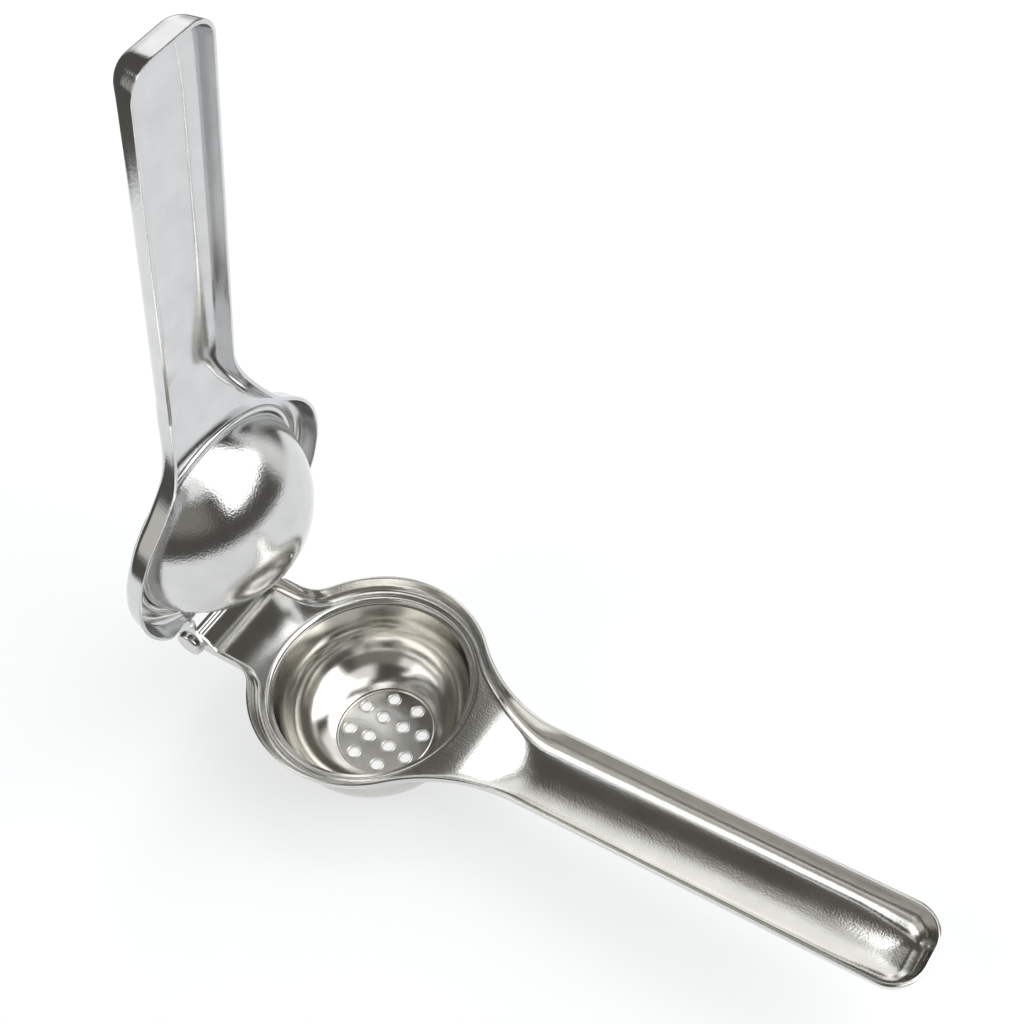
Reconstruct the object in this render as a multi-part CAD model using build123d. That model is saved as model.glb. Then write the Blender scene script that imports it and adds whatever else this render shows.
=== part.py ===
"""Hinged citrus squeezer in polished stainless steel: two stamped tray-shaped arms,
a drawn strainer cup, a drawn press dome, a hinge rivet and two spacer washers.

Row frame, millimetres: origin at the centre of the cup's outside bottom, +X along the
lower arm's handle, away from the hinge, +Y across the arms, +Z up along the cup's axis.
Each arm is modelled lying open side up, with its ring's axis at x = y = 0 and the top
edge of its ring wall at z = 0, and is then placed.
"""

from build123d import *
from math import cos, radians, sin, sqrt, tan
import os

os.makedirs("parts", exist_ok=True)

# sheet
SHEET = 1.0
FLARE = 14.0
SEAT_CLEAR = 0.02

# strainer cup
CUP_SHEET = 0.8
CUP_R = 30.0
CUP_TOP_Z = 26.0
CUP_WALL_LOW_Z = 19.0
CUP_FLOOR_R = 15.2
CUP_STEP = 0.8
DRAIN_HOLE_R = 1.75
OUTER_DRAINS = (8, 11.4, 22.5)
INNER_DRAINS = (4, 5.2, 45.0)

# press dome, in the upper arm's own frame
DOME_SHEET = 0.8
DOME_R = 31.5
DOME_CENTRE_Z = -11.9
DOME_COLLAR_R = 31.0
DOME_FLANGE_R = 34.0
BEAD_WIDTH = 2.2
BEAD_HEIGHT = 0.9

# hinge
HINGE_X = -52.5
HINGE_Z = 34.1
PIN_R = 1.8
RUNNING_CLEAR = 0.05
WASHER_R = 3.8
WASHER_THICK = 0.8
HEAD_R = 4.2
HEAD_THICK = 1.4
PEEN_R = 3.6
PEEN_THICK = 1.1
HEAD_ROUND = 0.7
EAR_R = 4.4
EAR_SHOULDER = 30.0

# lower arm
LOWER_RIM_Z = 32.0
LOWER_RING_R = 36.0
LOWER_SEAT = -4.6
LOWER_EAR_Y = 16.0
LOWER_HANDLE_RIM = 0.37
LOWER_SLOPE = 0.063
COLLAR_BEND = 1.6
COLLAR_LOW = -8.6
COLLAR_LAP = 1.0
TONGUE_END = -55.4
LOWER_RAMP = 8.5

# upper arm
UPPER_RING_R = 38.8
UPPER_SEAT = -6.1
UPPER_RIM_Z = 28.2
UPPER_EAR_Y = LOWER_EAR_Y + WASHER_THICK + RUNNING_CLEAR + SHEET
UPPER_HANDLE_RIM = -4.97
UPPER_SLOPE = 0.034
UPPER_FLOOR_END = -37.5
UPPER_EAR_FLAT = 4.0
UPPER_EAR_RAMP = 16.0
UPPER_EAR_CREST = 3.0
UPPER_RIM_DIP = ((-24.0, 0.0), (-34.0, -4.0), (-42.0, -3.4))
OPEN_ANGLE = 76.7

# both handles
HANDLE_HALF = 12.7
HANDLE_DEPTH = 8.6
TIP_X = 173.2
TIP_CORNER = 8.0
NECK_R = 50.0
HINGE_FILLET = 10.0
FLOOR_FILLET = 3.4
RING_FLAT_END = 34.5
HANDLE_START = 58.0
CURVE_PULL = 2.4

# limits of the working solids
INSIDE_RING = -15.0
DEEP = 24.0
HIGH = 12.0
SIDE = 60.0
FAR_BACK = -80.0
FAR_FRONT = 200.0


def ring_copies(shape, count, radius, first_angle):
    """Copies of a shape on a circle about Z."""
    return [
        Rot(0, 0, first_angle + i * 360 / count) * Pos(radius, 0, 0) * shape
        for i in range(count)
    ]


def handle_half(x, rim, slope):
    """Half width of the outline at z = 0 that gives HANDLE_HALF at the rim's own height."""
    return HANDLE_HALF - tan(radians(FLARE)) * (rim + slope * (x - HANDLE_START))


def tray_outline(ring_r, rim, slope, inset):
    """Plan at z = 0 of ring, neck and handle, moved in by inset."""
    radius = ring_r - inset
    neck = NECK_R + inset
    half_neck = handle_half(HANDLE_START, rim, slope) - inset
    half_tip = handle_half(TIP_X, rim, slope) - inset
    neck_y = half_neck + neck
    neck_x = sqrt((radius + neck) ** 2 - neck_y**2)
    share = radius / (radius + neck)
    ring_x, ring_y = neck_x * share, neck_y * share
    bisector = Vector(-neck_x, -neck_y, 0).normalized() + Vector(0, -1, 0)
    middle = Vector(neck_x, neck_y, 0) + bisector.normalized() * neck
    tip = TIP_X - inset
    corner = TIP_CORNER - inset
    bend = corner * (1 - cos(radians(45)))
    half = Wire(
        [
            ThreePointArc((-radius, 0), (0, radius), (ring_x, ring_y)),
            ThreePointArc((ring_x, ring_y), (middle.X, middle.Y), (neck_x, half_neck)),
            Line((neck_x, half_neck), (tip - corner, half_tip)),
            ThreePointArc(
                (tip - corner, half_tip),
                (tip - bend, half_tip - bend),
                (tip, half_tip - corner),
            ),
            Line((tip, half_tip - corner), (tip, 0)),
            Line((tip, 0), (-radius, 0)),
        ]
    )
    face = make_face(half)
    return face + mirror(face, about=Plane.XZ)


def hinge_outline(ring_r, ear_y, inset):
    """Plan of the channel between the ring and the hinge, moved in by inset."""
    radius = ring_r - inset
    fillet_r = HINGE_FILLET + inset
    side = ear_y - inset
    centre_y = side + fillet_r
    centre_x = -sqrt((radius + fillet_r) ** 2 - centre_y**2)
    share = radius / (radius + fillet_r)
    bisector = Vector(-centre_x, -centre_y, 0).normalized() + Vector(0, -1, 0)
    middle = Vector(centre_x, centre_y, 0) + bisector.normalized() * fillet_r
    half = Wire(
        [
            Line((FAR_BACK, 0), (FAR_BACK, side)),
            Line((FAR_BACK, side), (centre_x, side)),
            ThreePointArc(
                (centre_x, side),
                (middle.X, middle.Y),
                (centre_x * share, centre_y * share),
            ),
            Line((centre_x * share, centre_y * share), (0, 0)),
            Line((0, 0), (FAR_BACK, 0)),
        ]
    )
    face = make_face(half)
    return face + mirror(face, about=Plane.XZ)


def long_curve(ring_z, handle_z, slope):
    """Edges, front to back, of a line that is level at the ring and sloped on the handle."""
    reach = (HANDLE_START - RING_FLAT_END) / CURVE_PULL
    start = (RING_FLAT_END, ring_z)
    end = (HANDLE_START, handle_z)
    return [
        Line((FAR_BACK, ring_z), start),
        Bezier(
            start,
            (RING_FLAT_END + reach, ring_z),
            (HANDLE_START - reach, handle_z - slope * reach),
            end,
        ),
        Line(end, (FAR_FRONT, handle_z + slope * (FAR_FRONT - HANDLE_START))),
    ]


def slab(low, high):
    """Solid between two long curves, right across the arm."""
    ends = [Line(low[0] @ 0, high[0] @ 0), Line(low[-1] @ 1, high[-1] @ 1)]
    face = make_face(Wire(low + high + ends))
    return extrude(Plane.XZ * face, SIDE, both=True)


def flared(ring_r, rim, slope, inset):
    """Tall solid with the tray's plan at z = 0 and walls that flare upwards."""
    above = HIGH * tan(radians(FLARE))
    face = Pos(0, 0, HIGH) * tray_outline(ring_r, rim, slope, inset - above)
    return extrude(face, HIGH + DEEP, dir=(0, 0, -1), taper=FLARE)


def round_floor(solid, radius):
    """Round the long edge between the floor and the walls."""
    floors = [f for f in solid.faces() if f.normal_at().Z < -0.8]
    edges = []
    for floor in floors:
        others = [edge for f in floors if f is not floor for edge in f.edges()]
        edges += [edge for edge in floor.edges() if not any(edge.is_same(o) for o in others)]
    return fillet(edges, radius)


def tray(ring_r, seat, rim, slope, ear_y, hinge_side):
    """One stamped arm without its hole, ear holes or collar."""
    rim_curve = long_curve(0, rim, slope)
    low_curve = long_curve(seat - SHEET, rim - HANDLE_DEPTH, slope)
    floor_curve = long_curve(seat, rim - HANDLE_DEPTH + SHEET, slope)
    top_curve = long_curve(HIGH, HIGH, 0)
    outer = flared(ring_r, rim, slope, 0) & slab(low_curve, rim_curve)
    inner = flared(ring_r, rim, slope, SHEET) & slab(floor_curve, top_curve)
    outer = round_floor(outer, FLOOR_FILLET)
    inner = round_floor(inner, FLOOR_FILLET - SHEET)
    channel = extrude(Pos(0, 0, -DEEP) * hinge_outline(ring_r, ear_y, 0), DEEP + HIGH)
    hollow = extrude(Pos(0, 0, seat) * hinge_outline(ring_r, ear_y, SHEET), HIGH - seat)
    channel = channel & extrude(Plane.XZ * hinge_side, SIDE, both=True)
    return (outer + channel) - inner - hollow


def across(radius, x, z, length):
    """Cylinder about an axis along Y."""
    return Pos(x, 0, z) * Rot(90, 0, 0) * Cylinder(radius, length)


def turned(edges):
    """Solid turned about Z from the edges of its section, given as radius and height."""
    return revolve(Plane.XZ * make_face(Wire(edges)), Axis.Z)


# lower arm
ear_z = HINGE_Z - LOWER_RIM_Z
lower_back = LOWER_SEAT - SHEET
shoulder = radians(EAR_SHOULDER)
lower_side = make_face(
    Polyline(
        (HINGE_X - EAR_R, ear_z),
        (TONGUE_END, lower_back),
        (INSIDE_RING, lower_back),
        (INSIDE_RING, 0),
        (HINGE_X + LOWER_RAMP, 0),
        (HINGE_X + EAR_R * cos(shoulder), ear_z + EAR_R * sin(shoulder)),
        (HINGE_X, ear_z),
        close=True,
    )
)
lower_side = lower_side + Pos(HINGE_X, ear_z) * Circle(EAR_R)
lower_arm = tray(
    LOWER_RING_R, LOWER_SEAT, LOWER_HANDLE_RIM, LOWER_SLOPE, LOWER_EAR_Y, lower_side
)
hole_r = CUP_R + SEAT_CLEAR
collar_out = hole_r + SHEET
bend_r = hole_r + COLLAR_BEND
bend_z = LOWER_SEAT - COLLAR_BEND
bend_mid = COLLAR_BEND * sin(radians(45))
lap_r = bend_r + COLLAR_LAP
collar = turned(
    [
        Line((lap_r, LOWER_SEAT), (bend_r, LOWER_SEAT)),
        ThreePointArc((bend_r, LOWER_SEAT), (bend_r - bend_mid, bend_z + bend_mid), (hole_r, bend_z)),
        Line((hole_r, bend_z), (hole_r, COLLAR_LOW)),
        Line((hole_r, COLLAR_LOW), (collar_out, COLLAR_LOW)),
        Line((collar_out, COLLAR_LOW), (collar_out, bend_z)),
        Line((collar_out, bend_z), (bend_r, lower_back)),
        Line((bend_r, lower_back), (lap_r, lower_back)),
        Line((lap_r, lower_back), (lap_r, LOWER_SEAT)),
    ]
)
lower_arm = lower_arm - Cylinder(bend_r + COLLAR_LAP / 2, 2 * DEEP) + collar
lower_arm = lower_arm - across(PIN_R + SEAT_CLEAR, HINGE_X, ear_z, 2 * SIDE)
lower_arm = Pos(0, 0, LOWER_RIM_Z) * lower_arm

# upper arm, in its own frame
pin_z = UPPER_RIM_Z - HINGE_Z
back = UPPER_SEAT - SHEET
upper_side = make_face(
    Polyline(
        (HINGE_X, pin_z + EAR_R),
        (HINGE_X, pin_z - EAR_R),
        (HINGE_X + UPPER_EAR_FLAT, pin_z - EAR_R),
        (HINGE_X + UPPER_EAR_RAMP, back),
        (INSIDE_RING, back),
        (INSIDE_RING, 0),
        *UPPER_RIM_DIP,
        (HINGE_X + UPPER_EAR_CREST, pin_z + EAR_R),
        close=True,
    )
)
upper_side = upper_side + Pos(HINGE_X, pin_z) * Circle(EAR_R)
upper_arm = tray(
    UPPER_RING_R, UPPER_SEAT, UPPER_HANDLE_RIM, UPPER_SLOPE, UPPER_EAR_Y, upper_side
)
gap_long = UPPER_FLOOR_END - FAR_BACK
floor_gap = Box(gap_long, 2 * (UPPER_EAR_Y - SHEET), 2 * DEEP)
upper_arm = upper_arm - Pos(UPPER_FLOOR_END - gap_long / 2, 0, 0) * floor_gap
bead_in = DOME_COLLAR_R + SEAT_CLEAR
bead_out = bead_in + BEAD_WIDTH
bead_top = (bead_in + BEAD_WIDTH / 2, UPPER_SEAT + BEAD_HEIGHT)
bead = turned(
    [
        Line((bead_in, back), (bead_in, UPPER_SEAT)),
        ThreePointArc((bead_in, UPPER_SEAT), bead_top, (bead_out, UPPER_SEAT)),
        Line((bead_out, UPPER_SEAT), (bead_out, back)),
        Line((bead_out, back), (bead_in, back)),
    ]
)
upper_arm = upper_arm - Cylinder(bead_in, 2 * DEEP) + bead
upper_arm = upper_arm - across(PIN_R + RUNNING_CLEAR, HINGE_X, pin_z, 2 * SIDE)

# strainer cup
drop = CUP_WALL_LOW_Z - CUP_STEP
run = CUP_R - CUP_FLOOR_R - CUP_SHEET
bowl_r = (run**2 + drop**2) / (2 * run)
bowl_x = CUP_R - bowl_r


def bowl_arc(radius, foot_x):
    """Arc of the bowl's wall, from the upright wall in to foot_x."""
    fall = sqrt(radius**2 - (foot_x - bowl_x) ** 2)
    foot = (foot_x, CUP_WALL_LOW_Z - fall)
    half = Vector(1, 0, 0) + Vector(foot_x - bowl_x, -fall, 0).normalized()
    middle = half.normalized() * radius
    return ThreePointArc(
        (bowl_x + radius, CUP_WALL_LOW_Z),
        (bowl_x + middle.X, CUP_WALL_LOW_Z + middle.Y),
        foot,
    )


step_r = CUP_FLOOR_R + CUP_SHEET
lining_r = CUP_R - CUP_SHEET
outside = bowl_arc(bowl_r, step_r)
inside = bowl_arc(bowl_r - CUP_SHEET, CUP_FLOOR_R)
strainer_cup = turned(
    [
        Line((CUP_R, CUP_TOP_Z), (CUP_R, CUP_WALL_LOW_Z)),
        outside,
        Line(outside @ 1, (step_r, 0)),
        Line((step_r, 0), (0, 0)),
        Line((0, 0), (0, CUP_SHEET)),
        Line((0, CUP_SHEET), (CUP_FLOOR_R, CUP_SHEET)),
        Line((CUP_FLOOR_R, CUP_SHEET), inside @ 1),
        inside,
        Line((lining_r, CUP_WALL_LOW_Z), (lining_r, CUP_TOP_Z)),
        Line((lining_r, CUP_TOP_Z), (CUP_R, CUP_TOP_Z)),
    ]
)
drain = Cylinder(DRAIN_HOLE_R, 4 * CUP_SHEET)
for count, radius, turn in (OUTER_DRAINS, INNER_DRAINS):
    for hole in ring_copies(drain, count, radius, turn):
        strainer_cup = strainer_cup - hole

# press dome, in the upper arm's own frame
def dome_line(radius, from_r):
    """Arc of the dome's wall, from radius from_r to the tip."""
    rise = sqrt(radius**2 - from_r**2)
    half = (Vector(from_r, rise, 0).normalized() + Vector(0, 1, 0)).normalized() * radius
    return ThreePointArc(
        (from_r, DOME_CENTRE_Z + rise),
        (half.X, DOME_CENTRE_Z + half.Y),
        (0, DOME_CENTRE_Z + radius),
    )


mouth_r = DOME_COLLAR_R - DOME_SHEET
flange_back = back - DOME_SHEET
skin = dome_line(DOME_R, DOME_COLLAR_R)
lining = dome_line(DOME_R - DOME_SHEET, mouth_r)
press_dome = turned(
    [
        skin,
        Line(skin @ 1, lining @ 1),
        lining,
        Line(lining @ 0, (mouth_r, flange_back)),
        Line((mouth_r, flange_back), (DOME_FLANGE_R, flange_back)),
        Line((DOME_FLANGE_R, flange_back), (DOME_FLANGE_R, back)),
        Line((DOME_FLANGE_R, back), (DOME_COLLAR_R, back)),
        Line((DOME_COLLAR_R, back), skin @ 0),
    ]
)

# hinge rivet and washers, head on the -Y side
head_y = UPPER_EAR_Y + RUNNING_CLEAR
rivet = across(PIN_R, HINGE_X, HINGE_Z, 2 * head_y)
head = Rot(90, 0, 0) * Pos(0, 0, HEAD_THICK / 2) * Cylinder(HEAD_R, HEAD_THICK)
head = fillet(head.edges().sort_by(Axis.Y)[0], HEAD_THICK * HEAD_ROUND)
peen = Rot(-90, 0, 0) * Pos(0, 0, PEEN_THICK / 2) * Cylinder(PEEN_R, PEEN_THICK)
peen = fillet(peen.edges().sort_by(Axis.Y)[-1], PEEN_THICK * HEAD_ROUND)
head = Pos(HINGE_X, -head_y, HINGE_Z) * head
peen = Pos(HINGE_X, head_y, HINGE_Z) * peen
hinge_rivet = rivet + head + peen
washer_y = LOWER_EAR_Y + WASHER_THICK / 2
washer = Rot(90, 0, 0) * (
    Cylinder(WASHER_R, WASHER_THICK) - Cylinder(PIN_R + SEAT_CLEAR, 2 * WASHER_THICK)
)
near_washer = Pos(HINGE_X, -washer_y, HINGE_Z) * washer
far_washer = Pos(HINGE_X, washer_y, HINGE_Z) * washer

# place the upper arm and its dome: face down over the cup, then opened about the hinge
closed = Pos(0, 0, UPPER_RIM_Z) * Rot(180, 0, 0)
opened = Pos(HINGE_X, 0, HINGE_Z) * Rot(0, -OPEN_ANGLE, 0) * Pos(-HINGE_X, 0, -HINGE_Z)
upper_arm = opened * closed * upper_arm
press_dome = opened * closed * press_dome

nodes = {
    "lower_arm": lower_arm,
    "strainer_cup": strainer_cup,
    "upper_arm": upper_arm,
    "press_dome": press_dome,
    "hinge_rivet": hinge_rivet,
    "near_washer": near_washer,
    "far_washer": far_washer,
}
for name, shape in nodes.items():
    export_step(shape, f"parts/{name}.step")
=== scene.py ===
import math

import bmesh
import bpy
import numpy as np
from mathutils import Matrix, Vector


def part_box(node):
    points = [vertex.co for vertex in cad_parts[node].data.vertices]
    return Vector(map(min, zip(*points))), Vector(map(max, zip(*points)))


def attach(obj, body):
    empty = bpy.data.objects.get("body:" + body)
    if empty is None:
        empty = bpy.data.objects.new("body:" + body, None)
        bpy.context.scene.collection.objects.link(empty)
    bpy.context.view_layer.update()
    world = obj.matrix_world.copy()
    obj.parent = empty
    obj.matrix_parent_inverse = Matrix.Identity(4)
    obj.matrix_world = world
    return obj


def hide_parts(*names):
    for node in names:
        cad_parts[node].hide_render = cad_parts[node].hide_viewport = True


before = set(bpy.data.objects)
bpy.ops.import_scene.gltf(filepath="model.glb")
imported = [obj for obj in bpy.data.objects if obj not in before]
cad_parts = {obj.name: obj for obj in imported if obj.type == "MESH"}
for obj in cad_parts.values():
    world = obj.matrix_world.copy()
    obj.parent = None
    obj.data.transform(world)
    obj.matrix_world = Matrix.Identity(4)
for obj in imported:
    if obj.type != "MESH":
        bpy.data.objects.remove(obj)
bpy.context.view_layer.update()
MM = 0.001

# camera: where it stands in millimetres, then the direction from the object to it (round from +X
# towards +Y, and up) and its roll in degrees, its lens and sensor in millimetres, and the nearest
# and farthest that it sees in metres
CAMERA_AT = (218.40, -171.68, 431.51)
CAMERA_AZIMUTH = -48.462
CAMERA_ELEVATION = 50.969
CAMERA_ROLL = -10.209
CAMERA_LENS = 58.53
CAMERA_SENSOR = 36.0
CAMERA_CLIP = (0.01, 20.0)

# floor: its discs in metres as name, radius, x of the centre and height, and its colours
DISCS = (("table", 0.46, 0.12, 0.0), ("floor", 8.0, 0.0, -0.0004))
DISC_SEGMENTS = 96
FLOOR_COLOUR = (0.40, 0.41, 0.42, 1)
FLOOR_ROUGHNESS = 0.9
FLOOR_SPECULAR = 0.1
GLOW_COLOUR = (0.99, 0.995, 1, 1)
FLOOR_GLOW = 0.60
BACKDROP = (0.95, 0.95, 0.96, 1)

# studio panels: azimuth from and to (from +X towards +Y), elevation from and to, and soft edge,
# all in degrees, then colour and strength; the soft edge is narrower up and down than round
WHITE = (1.0, 1.0, 1.0)
WARM = (1.0, 0.97, 0.90)
ROOM = (0.100, 0.096, 0.085)
UPRIGHT_SOFTNESS = 0.6
LIGHTS = (
    (-8, 58, 20, 72, 7, WHITE, 3.0),
    (-34, 20, 70, 84, 6, WHITE, 1.6),
    (-54, -6, 48, 76, 8, WHITE, 1.0),
    (52, 80, -14, 34, 8, WHITE, 0.80),
    (-90, -30, 15, 48, 9, WARM, 0.16),
    (62, 120, 65, 80, 8, WHITE, 3.0),
    (62, 100, 54, 68, 6, WHITE, 2.4),
    (80, 130, 36, 60, 9, WHITE, 1.12),
    (104, 119, 10, 38, 6, WHITE, 1.2),
    (132, 151, -12, 41, 7, WHITE, 1.25),
    (119, 137, 8, 40, 5, WARM, 0.26),
    (-150, -108, 33, 62, 7, WHITE, 1.8),
    (-112, -88, 31, 48, 6, WHITE, 0.95),
    (-176, -142, 53, 82, 9, WHITE, 0.70),
    (-145, -105, 0, 30, 6, WARM, 0.60),
    (-101, -91, -12, 26, 5, WHITE, 0.60),
)

# steels: material name, colour, lowest and highest roughness, and the depth in millimetres of the
# fine grain, the long waves and the polishing marks
STEELS = {
    "lower_arm": ("lower_arm_steel", (0.64, 0.635, 0.61), (0.10, 0.16), 0.026, 0.05, 0.005),
    "upper_arm": ("upper_arm_steel", (0.63, 0.635, 0.64), (0.09, 0.15), 0.020, 0.05, 0.005),
    "strainer_cup": ("cup_steel", (0.62, 0.61, 0.575), (0.10, 0.16), 0.012, 0.05, 0.004),
    "press_dome": ("dome_steel", (0.64, 0.64, 0.635), (0.10, 0.15), 0.045, 0.04, 0.004),
    "hinge_rivet": ("rivet_steel", (0.62, 0.62, 0.61), (0.12, 0.22), 0.010, 0.05, 0.002),
    "near_washer": ("washer_steel", (0.60, 0.60, 0.59), (0.15, 0.25), 0.010, 0.05, 0.002),
}

# noise of a steel as scale and detail: cloudy gloss, change of tone, waves, grain and marks
CLOUD = (45, 4)
TONE = (120, 5)
WAVES = (60, 2)
GRAIN = (1900, 3)
MARKS = (900, 2)
MARK_STRETCH = (0.06, 1.0, 1.0)
NOISE_SPAN = (0.30, 0.70)
TONE_SPAN = (0.94, 1.04)

# sheet and handles, in millimetres, as in the CAD model
SHEET = 1.0
FLARE = math.radians(14)
HANDLE_HALF = 12.7
HANDLE_DEPTH = 8.6
TIP_X = 173.2
TIP_CORNER = 8.0
NECK_R = 50.0
HINGE_FILLET = 10.0
LEVEL_END = 34.5
HANDLE_START = 58.0
CURVE_PULL = 2.4
HINGE_X = -52.5
HINGE_Z = 34.1
EAR_R = 4.4

# places of the two rings, and how far the upper arm is open
LOWER_RING_Z = 32.0
CLOSED_RING_Z = 28.2
OPEN_ANGLE = math.radians(-76.7)

# softer forms of the pressed sheet, in millimetres: its thickness and rounded edge, where along x
# the bends widen and the floor's crown grows, and over what length at the tip the floor dips
SKIN = 0.97
EDGE_ROUND = 0.28
EDGE_SEGMENTS = 3
EDGE_ANGLE = math.radians(50)
CHANNEL_BEND = (-26.0, -34.0)
HANDLE_BEND = (34.0, 58.0)
TIP_BEND = (TIP_X - 22.0, TIP_X - 6.0)
CROWN_RISE = (38.0, 62.0)
CROWN_WIDTH = 6.5
TIP_DIP = 26.0

# ears, from the pin along x: where the walls start to lean out, how far the plan runs past the
# pin, where the front's rounding starts, where and over what length the lower edge slopes behind
# the round end, and over what length the wall turns into a flat ear past the end of the floor
FLARE_RISE = (HINGE_X + 14.0, HINGE_X + 26.0)
EAR_PLAN = 2.9
EAR_FRONT = 2.5
EAR_SLOPE_START = 4.0
EAR_SLOPE_LENGTH = 12.0
EAR_BLEND = 3.0

# collar round the lower hole (bend and depth below it) and bead round the upper one
COLLAR_BEND = 1.6
COLLAR_DEPTH = 2.4
BEAD_WIDTH = 2.2
BEAD_HEIGHT = 0.9

# mesh: rows and columns of points, the passes that settle a point on a sloping line, the decimals
# to which two points are one, and in millimetres how near they are welded
WALL_ROWS = 8
BEND_ROWS = 16
ACROSS = 16
RADIAL = 4
ARC_ROWS = 8
COLLAR_ROWS = 4
BEAD_ROWS = 14
SETTLE = 6
CURVE_POINTS = 200
SAME_PLACE_DIGITS = 4
SHORTEST_SQUARE = 1e-12
OUTLINE = {
    "ear": 20, "ear_blend": 10, "channel": 4, "fillet": 16, "ring": 72, "neck": 24, "handle": 60,
    "corner": 14,
}
ARM_WELD = 0.02
BEAD_WELD = 0.001

# the ring's flange is fanned where it is narrower than this, and rows straighten this far from it
FLANGE = 2.2
ROW_BLEND = 9.0

# strainer cup: sheet, radius of its floor, and the drain holes as count, circle and first angle
CUP_SHEET = 0.8
CUP_FLOOR_R = 15.2
DRAIN_R = 1.75
OUTER_DRAINS = (8, 11.4, 22.5)
INNER_DRAINS = (4, 5.2, 45.0)

# raised rims in the cup's floor: how far from the edge or hole, width and height
FLOOR_RIM = (-0.45, 0.9, 0.35)
DRAIN_RIM = (0.35, 0.7, 0.22)
RIM_ROWS = 8
RIM_SEGMENTS = 48

# the two arms, each lying with its ring's rim at z = 0 and its handle along +X:
# ring_r, side: outside radius of the ring, and outside half width of the channel behind it
# seat, hole_r: height of the floor in the ring, and radius of the hole in it
# rim, slope: height of the rim where the handle starts, and its rise per millimetre from there
# bend_...: inner radius between wall and floor in each stretch
# crown, dip: angle at which the handle's floor leaves its bends, and how far it drops at the tip
# pin_z, floor_end: height of the pin, and the x where the channel's floor ends
# front_low: x and z of the ear's lower front corner; at the pin's x the front is a plain arc
# rim_line: x and z of the rim's turning points from the ear to the ring
LOWER = {
    "ring_r": 36.0, "seat": -4.6, "rim": 0.37, "slope": 0.063, "side": 16.0,
    "hole_r": 31.62, "bend_ring": 2.4, "bend_channel": 2.4, "bend_handle": 4.6, "bend_tip": 6.6,
    "crown": math.radians(11), "dip": 1.6, "pin_z": 2.1, "floor_end": -55.4,
    "front_low": (-55.4, -5.6),
    "rim_line": [(-48.7, 4.3), (-44.0, 0.0), (-30.0, 0.0)],
}
UPPER = {
    "ring_r": 38.8, "seat": -6.1, "rim": -4.97, "slope": 0.034, "side": 17.85,
    "hole_r": 33.22, "bend_ring": 2.4, "bend_channel": 1.4, "bend_handle": 4.6, "bend_tip": 5.4,
    "crown": math.radians(20), "dip": 1.4, "pin_z": -5.9, "floor_end": -37.5,
    "front_low": (-52.5, -10.3),
    "rim_line": [(-49.5, -1.5), (-42.0, -3.4), (-34.0, -4.0), (-24.0, 0.0), (-15.0, 0.0)],
}


def ease(t):
    """Smooth step from 0 to 1."""
    t = min(max(t, 0.0), 1.0)
    return t * t * (3 - 2 * t)


def ramp(x, span):
    """Smooth step from 0 at the start of a span to 1 at its end."""
    start, end = span
    return ease((x - start) / (end - start))


# ---- lines along an arm ----


def bezier_table(start, end, slope):
    """x and z along the curve from the level ring line to the sloped handle line."""
    reach = (HANDLE_START - LEVEL_END) / CURVE_PULL
    t = np.linspace(0, 1, CURVE_POINTS)
    a, b, c, d = (1 - t) ** 3, 3 * t * (1 - t) ** 2, 3 * t * t * (1 - t), t**3
    x = a * LEVEL_END + b * (LEVEL_END + reach) + c * (HANDLE_START - reach) + d * HANDLE_START
    z = a * start + b * start + c * (end - slope * reach) + d * end
    return x, z


def long_line(spec, ring_z, handle_z):
    """Height as a function of x: level at the ring, sloped on the handle."""
    xs, zs = bezier_table(ring_z, handle_z, spec["slope"])

    def height(x):
        if x >= HANDLE_START:
            return handle_z + spec["slope"] * (x - HANDLE_START)
        return float(np.interp(x, xs, zs))

    return height


def heights(spec):
    """Functions for the rim and the floor of one arm."""
    rim_base = long_line(spec, 0.0, spec["rim"])
    floor_base = long_line(spec, spec["seat"], spec["rim"] - HANDLE_DEPTH + SHEET)
    line = spec["rim_line"]

    def rim(x):
        if x <= line[0][0]:
            return spec["pin_z"] + math.sqrt(max(EAR_R**2 - (x - HINGE_X) ** 2, 0.0))
        for (x0, z0), (x1, z1) in zip(line, line[1:]):
            if x <= x1:
                return z0 + (z1 - z0) * ramp(x, (x0, x1))
        return rim_base(x)

    def floor(x):
        near_tip = max((x - TIP_X + TIP_DIP) / TIP_DIP, 0.0)
        return floor_base(x) - spec["dip"] * near_tip**2

    return rim, floor


def handle_half(spec, x):
    """Half width of the plan at z = 0."""
    return HANDLE_HALF - math.tan(FLARE) * (spec["rim"] + spec["slope"] * (x - HANDLE_START))


# ---- plan of an arm ----


def arc_points(centre, radius, start, end, count, inward):
    """Points and inward normals along an arc; inward is 1 away from the centre, -1 towards it."""
    out = []
    for a in np.linspace(start, end, count + 1)[:-1]:
        c, s = math.cos(a), math.sin(a)
        out.append(((centre[0] + radius * c, centre[1] + radius * s), (inward * c, inward * s)))
    return out


def line_points(start, end, count):
    """Points and inward normals along a straight run on the +Y side."""
    dx, dy = end[0] - start[0], end[1] - start[1]
    long = math.hypot(dx, dy)
    normal = (dy / long, -dx / long)
    return [
        ((start[0] + dx * i / count, start[1] + dy * i / count), normal) for i in range(count)
    ]


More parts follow.
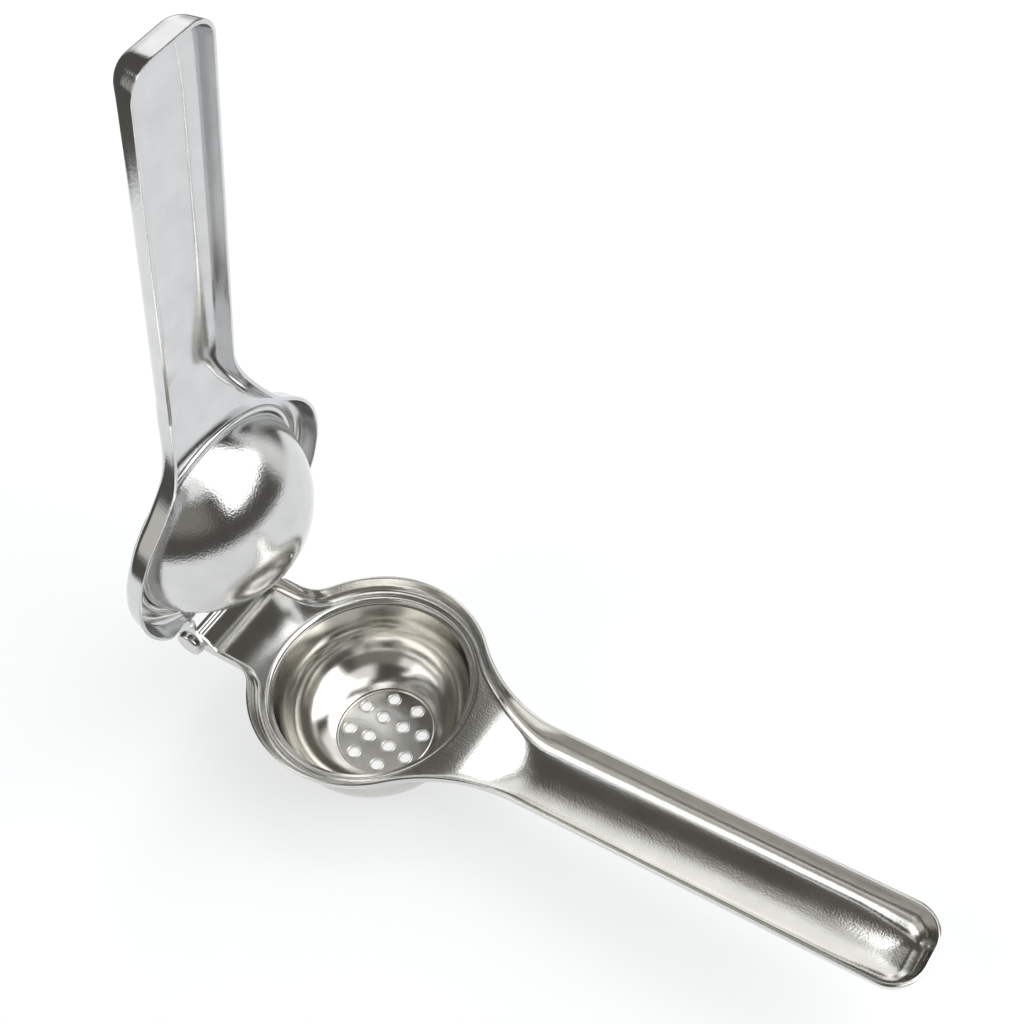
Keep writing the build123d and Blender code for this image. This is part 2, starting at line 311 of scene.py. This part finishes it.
def side_path(spec):
    """The +Y half of the plan, from the hinge to the middle of the tip.

    With it come the numbers of the points where the floor starts and where the ring starts and ends.
    """
    ring_r, side = spec["ring_r"], spec["side"]
    hinge_y = side + HINGE_FILLET
    hinge_x = -math.sqrt((ring_r + HINGE_FILLET) ** 2 - hinge_y**2)
    half_neck = handle_half(spec, HANDLE_START)
    half_tip = handle_half(spec, TIP_X)
    neck_y = half_neck + NECK_R
    neck_x = math.sqrt((ring_r + NECK_R) ** 2 - neck_y**2)
    end_x = HINGE_X - EAR_PLAN
    cut = spec["floor_end"]
    path = []
    if cut > end_x:
        path += line_points((end_x, side), (cut - EAR_BLEND, side), OUTLINE["ear"])
        path += line_points((cut - EAR_BLEND, side), (cut, side), OUTLINE["ear_blend"])
        floor_first = len(path)
        path += line_points((cut, side), (hinge_x, side), OUTLINE["channel"])
    else:
        floor_first = 0
        path += line_points((end_x, side), (hinge_x, side), OUTLINE["ear"])
    into_ring = math.atan2(-hinge_y, -hinge_x)
    path += arc_points(
        (hinge_x, hinge_y), HINGE_FILLET, -math.pi / 2, into_ring, OUTLINE["fillet"], 1
    )
    ring_first = len(path)
    ring_from = math.atan2(hinge_y, hinge_x)
    ring_to = math.atan2(neck_y, neck_x)
    path += arc_points((0, 0), ring_r, ring_from, ring_to, OUTLINE["ring"], -1)
    ring_last = len(path)
    out_of_ring = math.atan2(-neck_y, -neck_x)
    path += arc_points((neck_x, neck_y), NECK_R, out_of_ring, -math.pi / 2, OUTLINE["neck"], 1)
    path += line_points((neck_x, half_neck), (TIP_X - TIP_CORNER, half_tip), OUTLINE["handle"])
    straight_half = half_tip - TIP_CORNER
    corner = (TIP_X - TIP_CORNER, straight_half)
    path += arc_points(corner, TIP_CORNER, math.pi / 2, 0, OUTLINE["corner"], -1)
    for i in range(ACROSS // 2 + 1):
        path.append(((TIP_X, straight_half * (1 - 2 * i / ACROSS)), (-1.0, 0.0)))
    return path, floor_first, ring_first, ring_last


# ---- section of an arm ----


def bend_radius(spec, x):
    """Inner radius between wall and floor."""
    ring, channel = spec["bend_ring"], spec["bend_channel"]
    handle, tip = spec["bend_handle"], spec["bend_tip"]
    if x < 0:
        return ring + (channel - ring) * ramp(x, CHANNEL_BEND)
    radius = ring + (handle - ring) * ramp(x, HANDLE_BEND)
    return radius + (tip - handle) * ramp(x, TIP_BEND)


def crown_angle(spec, x):
    """How steeply the floor leaves the bend."""
    return spec["crown"] * ramp(x, CROWN_RISE)


def crown_depth(spec, x, distance):
    """How far the floor lies below the end of the bend, at a distance in from it."""
    d = min(distance, CROWN_WIDTH)
    return math.tan(crown_angle(spec, x)) * (d - d * d / (2 * CROWN_WIDTH))


def ear_low(spec, x):
    """Lower edge of an ear beyond the end of the floor."""
    if x <= HINGE_X + EAR_SLOPE_START:
        below = math.sqrt(max(EAR_R**2 - min(x - HINGE_X, 0.0) ** 2, 0.0))
        return spec["pin_z"] - below
    t = (x - HINGE_X - EAR_SLOPE_START) / EAR_SLOPE_LENGTH
    return spec["pin_z"] - EAR_R + t * (EAR_R - spec["pin_z"] + spec["seat"] - SHEET)


def ear_front(spec, p):
    """Moves the front end of a wall out to the ear's rounded outline."""
    x, y, z = p
    start, nominal = HINGE_X + EAR_FRONT, HINGE_X - EAR_PLAN
    if x >= start:
        return p
    low_x, low_z = spec["front_low"]
    rise = z - spec["pin_z"]
    if rise >= 0 or low_x == HINGE_X:
        front = HINGE_X - math.sqrt(max(EAR_R**2 - rise**2, 0.0))
    else:
        t = min(-rise / (spec["pin_z"] - low_z), 1.0)
        front = HINGE_X - EAR_R + t * (low_x - HINGE_X + EAR_R)
    front = min(front, nominal)
    return (start + (x - start) * (front - start) / (nominal - start), y, z)


def profile(spec, rim, floor, point, normal):
    """Points from the rim down the wall and round the bend to the floor, at one place on the plan.

    A point is placed by its height and by how far in it lies from the plan's outline.
    """
    (plan_x, plan_y), (in_x, in_y) = point, normal
    flare = FLARE * ramp(plan_x, FLARE_RISE)
    slant = math.tan(flare)
    top = 0.0
    for _ in range(SETTLE):
        top = rim(plan_x + (SHEET - top * slant) * in_x)
    radius = bend_radius(spec, plan_x)
    end = math.pi / 2 - crown_angle(spec, plan_x)
    end_in = 0.0
    for _ in range(SETTLE):
        x_here = plan_x + end_in * in_x
        base = floor(x_here) + crown_depth(spec, x_here, CROWN_WIDTH)
        centre_z = base + radius * math.sin(end)
        foot = centre_z - radius * math.sin(flare)
        centre_in = SHEET - foot * slant + radius * math.cos(flare)
        end_in = centre_in - radius * math.cos(end)
    places = []
    for i in range(WALL_ROWS):
        z = top + (foot - top) * i / WALL_ROWS
        places.append((SHEET - z * slant, z))
    for i in range(BEND_ROWS + 1):
        turn = flare + (end - flare) * i / BEND_ROWS
        places.append((centre_in - radius * math.cos(turn), centre_z - radius * math.sin(turn)))
    rows = [(plan_x + inset * in_x, plan_y + inset * in_y, z) for inset, z in places]
    plate = ease((spec["floor_end"] - plan_x) / EAR_BLEND)
    if plate > 0:
        low = ear_low(spec, plan_x)
        for i, (x, y, z) in enumerate(rows):
            flat = top + (low - top) * i / (WALL_ROWS + BEND_ROWS)
            rows[i] = (x, y + (plan_y + SHEET * in_y - y) * plate, z + (flat - z) * plate)
    return [ear_front(spec, p) for p in rows]


# ---- surface of an arm ----


def flip(p):
    """The same point on the other side."""
    return (p[0], -p[1], p[2])


def floor_lift(spec, floor, outline):
    """Function that lifts a place on the plan to the floor, crowned from its outline inwards."""
    a, b = outline[:-1], outline[1:]
    run = b - a
    square = np.maximum((run**2).sum(1), SHORTEST_SQUARE)

    def on_floor(x, y):
        here = np.array((x, y))
        t = np.clip(((here - a) * run).sum(1) / square, 0, 1)
        gap = a + run * t[:, None] - here
        distance = math.sqrt(float((gap**2).sum(1).min()))
        drop = crown_depth(spec, x, CROWN_WIDTH) - crown_depth(spec, x, distance)
        return (x, y, floor(x) + drop)

    return on_floor


def radial_row(spec, on_floor, point):
    """Points from the hole's edge out to a point at the foot of the wall."""
    angle = math.atan2(point[1], point[0])
    hole_x = spec["hole_r"] * math.cos(angle)
    hole_y = spec["hole_r"] * math.sin(angle)
    row = []
    for i in range(RADIAL):
        t = i / RADIAL
        row.append(on_floor(hole_x + (point[0] - hole_x) * t, hole_y + (point[1] - hole_y) * t))
    return row + [point]


def across_rows(spec, on_floor, side, sign):
    """Rows across the floor along a side; sign is 1 from the hole to the tip, -1 to the hinge.

    The first row is the hole's arc, and the rows straighten with distance from it.
    """
    hole_r = spec["hole_r"]
    half = abs(math.atan2(side[0][1], sign * side[0][0]))
    last = len(side) - 1
    reach = next((i for i, p in enumerate(side) if sign * p[0] > hole_r + ROW_BLEND), last)
    rows = []
    for i, p in enumerate(side):
        centre = hole_r + (abs(side[reach][0]) - hole_r) * i / reach
        bulge = centre - abs(p[0]) if i < reach else 0.0
        straight = ease(i / reach)
        row = [p]
        for k in range(1, ACROSS):
            v = 1 - 2 * k / ACROSS
            arc_x = (math.cos(half * v) - math.cos(half)) / (1 - math.cos(half))
            arc_y = math.sin(half * v) / math.sin(half)
            x = sign * (abs(p[0]) + bulge * arc_x)
            y = abs(p[1]) * (arc_y + (v - arc_y) * straight)
            row.append(on_floor(x, y))
        rows.append(row + [flip(p)])
    return rows


def collar_steps():
    """The rolled collar of the lower ring, as changes of radius and height from the hole's edge."""
    steps = []
    for a in np.linspace(0, math.pi / 2, ARC_ROWS + 1):
        steps.append((-COLLAR_BEND * math.sin(a), -COLLAR_BEND * (1 - math.cos(a))))
    for i in range(1, COLLAR_ROWS + 1):
        steps.append((-COLLAR_BEND, -COLLAR_BEND - COLLAR_DEPTH * i / COLLAR_ROWS))
    return steps


def bead_steps():
    """The raised bead of the upper ring, as changes of radius and height from the hole's edge."""
    steps = []
    for a in np.linspace(0, math.pi, BEAD_ROWS + 1):
        steps.append((-BEAD_WIDTH / 2 * (1 - math.cos(a)), BEAD_HEIGHT * math.sin(a)))
    return steps


def hole_rows(spec, circle):
    """Rows of points round the hole: a collar on the lower arm, a bead on the upper one."""
    rows = []
    for dr, dz in collar_steps() if spec is LOWER else bead_steps():
        scale = (spec["hole_r"] + dr) / spec["hole_r"]
        row = [(x * scale, y * scale, spec["seat"] + dz) for x, y, _ in circle]
        rows.append(row + row[:1])
    return rows


def arm_surface(spec):
    """Inner surface of one arm as grids of points: walls and bends, ring flange, floors, hole."""
    rim, floor = heights(spec)
    path, floor_first, ring_first, ring_last = side_path(spec)
    columns = [profile(spec, rim, floor, *station) for station in path]
    whole = columns + [[flip(p) for p in c] for c in reversed(columns[:-1])]
    edge = [c[-1] for c in columns]
    on_floor = floor_lift(spec, floor, np.array([c[-1][:2] for c in whole]))

    wide = spec["hole_r"] + FLANGE
    front = next(i for i in range(ring_last, len(edge)) if math.hypot(*edge[i][:2]) > wide)
    back = next(i for i in range(ring_first, 0, -1) if math.hypot(*edge[i][:2]) > wide)
    fan = [radial_row(spec, on_floor, p) for p in edge[back : front + 1]]
    far_fan = [[flip(p) for p in row] for row in fan]

    tip = len(path) - ACROSS // 2 - 1
    forward = across_rows(spec, on_floor, fan[-1] + edge[front + 1 : tip + 1], 1)
    forward[-1] = [c[-1] for c in whole[tip : tip + ACROSS + 1]]
    backward = across_rows(spec, on_floor, fan[0] + edge[floor_first:back][::-1], -1)

    hole = [row[0] for row in fan] + forward[0][1:-1]
    hole += [row[0] for row in reversed(far_fan)] + backward[0][-2:0:-1]
    return [whole, fan, far_fan, forward, backward, hole_rows(spec, hole)]


# ---- pieces ----


def add_piece(name, points, faces, weld, place):
    """A smooth piece from points in millimetres, welded, facing up, and then put in its place."""
    mesh = bpy.data.meshes.new(name)
    mesh.from_pydata([Vector(p) * MM for p in points], [], faces)
    bm = bmesh.new()
    bm.from_mesh(mesh)
    bmesh.ops.remove_doubles(bm, verts=bm.verts, dist=weld * MM)
    bmesh.ops.recalc_face_normals(bm, faces=bm.faces)
    if sum(f.normal.z * f.calc_area() for f in bm.faces) < 0:
        bmesh.ops.reverse_faces(bm, faces=bm.faces)
    bmesh.ops.transform(bm, matrix=place, verts=bm.verts)
    for f in bm.faces:
        f.smooth = True
    bm.to_mesh(mesh)
    bm.free()
    obj = bpy.data.objects.new(name, mesh)
    bpy.context.scene.collection.objects.link(obj)
    return obj


def make_arm(name, spec, place, node, body):
    """One stamped arm as a smooth sheet that stands for its CAD node."""
    points, faces, index = [], [], {}

    def vertex(p):
        key = tuple(round(value, SAME_PLACE_DIGITS) for value in p)
        if key not in index:
            index[key] = len(points)
            points.append(p)
        return index[key]

    for grid in arm_surface(spec):
        ids = [[vertex(p) for p in row] for row in grid]
        for a, b in zip(ids, ids[1:]):
            for i in range(len(a) - 1):
                quad = [a[i], a[i + 1], b[i + 1], b[i]]
                quad = [v for k, v in enumerate(quad) if v not in quad[:k]]
                if len(quad) > 2:
                    faces.append(quad)
    obj = add_piece(name, points, faces, ARM_WELD, place)
    thick = obj.modifiers.new("sheet", "SOLIDIFY")
    thick.thickness = SKIN * MM
    thick.offset = -1
    edge = obj.modifiers.new("edge", "BEVEL")
    edge.width = EDGE_ROUND * MM
    edge.segments = EDGE_SEGMENTS
    edge.limit_method = "ANGLE"
    edge.angle_limit = EDGE_ANGLE
    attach(obj, body)
    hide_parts(node)
    return obj


def rim_rows(centre, radius, width, height):
    """Rows of points of a raised rim round a centre: half an ellipse turned about Z."""
    rows = []
    for a in np.linspace(0, math.pi, RIM_ROWS + 1):
        r = radius - width / 2 * math.cos(a)
        z = centre[2] + height * math.sin(a)
        row = []
        for b in np.linspace(0, 2 * math.pi, RIM_SEGMENTS + 1):
            row.append((centre[0] + r * math.cos(b), centre[1] + r * math.sin(b), z))
        rows.append(row)
    return rows


def drain_rims():
    """Centre, radius, width and height of the rim of the cup's floor and of each drain hole."""
    cup_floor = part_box("strainer_cup")[0][2] / MM + CUP_SHEET
    away, width, height = FLOOR_RIM
    rims = [((0.0, 0.0, cup_floor), CUP_FLOOR_R + away, width, height)]
    away, width, height = DRAIN_RIM
    for count, circle_r, turn in (OUTER_DRAINS, INNER_DRAINS):
        for i in range(count):
            angle = math.radians(turn + i * 360 / count)
            centre = (circle_r * math.cos(angle), circle_r * math.sin(angle), cup_floor)
            rims.append((centre, DRAIN_R + away, width, height))
    return rims


def make_rims(name, rims, body):
    """Raised rims pressed in the cup's floor, as one piece."""
    points, faces = [], []
    for rim in rims:
        rows = rim_rows(*rim)
        first = len(points)
        long = len(rows[0])
        points += [p for row in rows for p in row]
        for i in range(len(rows) - 1):
            for k in range(long - 1):
                a = first + i * long + k
                faces.append((a, a + 1, a + 1 + long, a + long))
    obj = add_piece(name, points, faces, BEAD_WELD, Matrix.Identity(4))
    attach(obj, body)
    return obj


# ---- stage ----


def camera():
    """Camera turned to its azimuth and elevation, then rolled about its own axis."""
    data = bpy.data.cameras.new("camera")
    data.lens = CAMERA_LENS
    data.sensor_width = CAMERA_SENSOR
    data.clip_start, data.clip_end = CAMERA_CLIP
    obj = bpy.data.objects.new("camera", data)
    bpy.context.scene.collection.objects.link(obj)
    round_z = Matrix.Rotation(math.radians(CAMERA_AZIMUTH + 90), 4, "Z")
    down = Matrix.Rotation(math.radians(90 - CAMERA_ELEVATION), 4, "X")
    roll = Matrix.Rotation(math.radians(CAMERA_ROLL), 4, "Z")
    obj.matrix_world = Matrix.Translation(Vector(CAMERA_AT) * MM) @ round_z @ down @ roll
    bpy.context.scene.camera = obj


def ground():
    """Pale floor: a round table that the metal reflects, and the same colour beyond it for the camera."""
    mat = bpy.data.materials.new("floor")
    mat.use_nodes = True
    shader = mat.node_tree.nodes["Principled BSDF"]
    shader.inputs["Base Color"].default_value = FLOOR_COLOUR
    shader.inputs["Roughness"].default_value = FLOOR_ROUGHNESS
    shader.inputs["Specular IOR Level"].default_value = FLOOR_SPECULAR
    shader.inputs["Emission Color"].default_value = GLOW_COLOUR
    shader.inputs["Emission Strength"].default_value = FLOOR_GLOW
    for name, radius, x, z in DISCS:
        mesh = bpy.data.meshes.new(name)
        bm = bmesh.new()
        bmesh.ops.create_circle(bm, cap_ends=True, radius=radius, segments=DISC_SEGMENTS)
        bm.to_mesh(mesh)
        bm.free()
        obj = bpy.data.objects.new(name, mesh)
        obj.location = (x, 0, z)
        bpy.context.scene.collection.objects.link(obj)
        mesh.materials.append(mat)
        obj.visible_glossy = name == "table"


def window(nodes, links, value, low, high, soft):
    """1 between low and high, falling smoothly to 0 across an edge soft either side of each."""
    away = nodes.new("ShaderNodeMath")
    away.operation = "SUBTRACT"
    away.inputs[1].default_value = (low + high) / 2
    links.new(value, away.inputs[0])
    size = nodes.new("ShaderNodeMath")
    size.operation = "ABSOLUTE"
    links.new(away.outputs[0], size.inputs[0])
    edge = nodes.new("ShaderNodeMapRange")
    edge.interpolation_type = "SMOOTHSTEP"
    edge.inputs["From Min"].default_value = (high - low) / 2 + soft
    edge.inputs["From Max"].default_value = (high - low) / 2 - soft
    links.new(size.outputs[0], edge.inputs["Value"])
    return edge.outputs["Result"]


def degrees_of(nodes, links, value):
    """An angle in degrees."""
    turn = nodes.new("ShaderNodeMath")
    turn.operation = "DEGREES"
    links.new(value, turn.inputs[0])
    return turn.outputs[0]


def studio(lights):
    """World light: a dim room with soft-edged panels, and a pale backdrop for the camera."""
    world = bpy.data.worlds.new("studio")
    bpy.context.scene.world = world
    world.use_nodes = True
    nodes, links = world.node_tree.nodes, world.node_tree.links
    nodes.clear()
    out = nodes.new("ShaderNodeOutputWorld")
    coords = nodes.new("ShaderNodeTexCoord")
    axes = nodes.new("ShaderNodeSeparateXYZ")
    links.new(coords.outputs["Generated"], axes.inputs[0])
    around = nodes.new("ShaderNodeMath")
    around.operation = "ARCTAN2"
    links.new(axes.outputs["Y"], around.inputs[0])
    links.new(axes.outputs["X"], around.inputs[1])
    azimuth = degrees_of(nodes, links, around.outputs[0])
    rise = nodes.new("ShaderNodeMath")
    rise.operation = "ARCSINE"
    links.new(axes.outputs["Z"], rise.inputs[0])
    elevation = degrees_of(nodes, links, rise.outputs[0])
    total = None
    for left, right, low, high, soft, colour, strength in lights:
        wide = window(nodes, links, azimuth, left, right, soft)
        tall = window(nodes, links, elevation, low, high, soft * UPRIGHT_SOFTNESS)
        both = nodes.new("ShaderNodeMath")
        both.operation = "MULTIPLY"
        links.new(wide, both.inputs[0])
        links.new(tall, both.inputs[1])
        add = nodes.new("ShaderNodeVectorMath")
        add.operation = "MULTIPLY_ADD"
        add.inputs[1].default_value = Vector(colour) * strength
        links.new(both.outputs[0], add.inputs[0])
        if total is None:
            add.inputs[2].default_value = ROOM
        else:
            links.new(total, add.inputs[2])
        total = add.outputs[0]
    light = nodes.new("ShaderNodeBackground")
    links.new(total, light.inputs["Color"])
    backdrop = nodes.new("ShaderNodeBackground")
    backdrop.inputs["Color"].default_value = BACKDROP
    path = nodes.new("ShaderNodeLightPath")
    mix = nodes.new("ShaderNodeMixShader")
    links.new(path.outputs["Is Camera Ray"], mix.inputs[0])
    links.new(light.outputs[0], mix.inputs[1])
    links.new(backdrop.outputs[0], mix.inputs[2])
    links.new(mix.outputs[0], out.inputs["Surface"])


# ---- steel ----


def noise(nodes, links, coords, scale, detail, stretch=None):
    """Noise in object space; stretch scales the axes, for marks drawn out along one of them."""
    source = coords.outputs["Object"]
    if stretch:
        mapping = nodes.new("ShaderNodeMapping")
        mapping.inputs["Scale"].default_value = stretch
        links.new(source, mapping.inputs["Vector"])
        source = mapping.outputs[0]
    grain = nodes.new("ShaderNodeTexNoise")
    grain.inputs["Scale"].default_value = scale
    grain.inputs["Detail"].default_value = detail
    links.new(source, grain.inputs["Vector"])
    return grain.outputs["Fac"]


def tinted(colour, factor):
    """A colour made darker or lighter, with full alpha."""
    return tuple(min(c * factor, 1) for c in colour) + (1,)


def steel(name, colour, gloss, grain, wave, marks):
    """Polished stainless steel with cloudy gloss, a slight change of tone, and three depths of bump."""
    mat = bpy.data.materials.new(name)
    mat.use_nodes = True
    nodes, links = mat.node_tree.nodes, mat.node_tree.links
    shader = nodes["Principled BSDF"]
    shader.inputs["Metallic"].default_value = 1.0
    coords = nodes.new("ShaderNodeTexCoord")
    low, high = NOISE_SPAN

    shade = nodes.new("ShaderNodeMapRange")
    shade.inputs["From Min"].default_value = low
    shade.inputs["From Max"].default_value = high
    shade.inputs["To Min"].default_value = gloss[0]
    shade.inputs["To Max"].default_value = gloss[1]
    links.new(noise(nodes, links, coords, *CLOUD), shade.inputs["Value"])
    links.new(shade.outputs["Result"], shader.inputs["Roughness"])

    tone = nodes.new("ShaderNodeValToRGB")
    for stop, place, factor in zip(tone.color_ramp.elements, NOISE_SPAN, TONE_SPAN):
        stop.position = place
        stop.color = tinted(colour, factor)
    links.new(noise(nodes, links, coords, *TONE), tone.inputs["Fac"])
    links.new(tone.outputs["Color"], shader.inputs["Base Color"])

    normal = None
    layers = (
        (noise(nodes, links, coords, *WAVES), wave),
        (noise(nodes, links, coords, *GRAIN), grain),
        (noise(nodes, links, coords, *MARKS, MARK_STRETCH), marks),
    )
    for height, depth in layers:
        bump = nodes.new("ShaderNodeBump")
        bump.inputs["Strength"].default_value = 1.0
        bump.inputs["Distance"].default_value = depth * MM
        links.new(height, bump.inputs["Height"])
        if normal:
            links.new(normal, bump.inputs["Normal"])
        normal = bump.outputs["Normal"]
    links.new(normal, shader.inputs["Normal"])
    return mat


# ---- the scene ----

camera()
ground()
steels = {node: steel(*finish) for node, finish in STEELS.items()}
steels["far_washer"] = steels["near_washer"]
for name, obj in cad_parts.items():
    obj.data.materials.clear()
    obj.data.materials.append(steels[name])

lower_place = Matrix.Translation((0, 0, LOWER_RING_Z * MM))
hinge_point = Matrix.Translation((HINGE_X * MM, 0, HINGE_Z * MM))
closed = Matrix.Translation((0, 0, CLOSED_RING_Z * MM)) @ Matrix.Rotation(math.pi, 4, "X")
opened = hinge_point @ Matrix.Rotation(OPEN_ANGLE, 4, "Y") @ hinge_point.inverted()
lower = make_arm("lower_arm_sheet", LOWER, lower_place, "lower_arm", "lower")
upper = make_arm("upper_arm_sheet", UPPER, opened @ closed, "upper_arm", "upper")
drains = make_rims("drain_beads", drain_rims(), "lower")
drains.data.materials.append(steels["strainer_cup"])
lower.data.materials.append(steels["lower_arm"])
upper.data.materials.append(steels["upper_arm"])
bpy.context.scene.view_settings.view_transform = "Standard"
studio(LIGHTS)
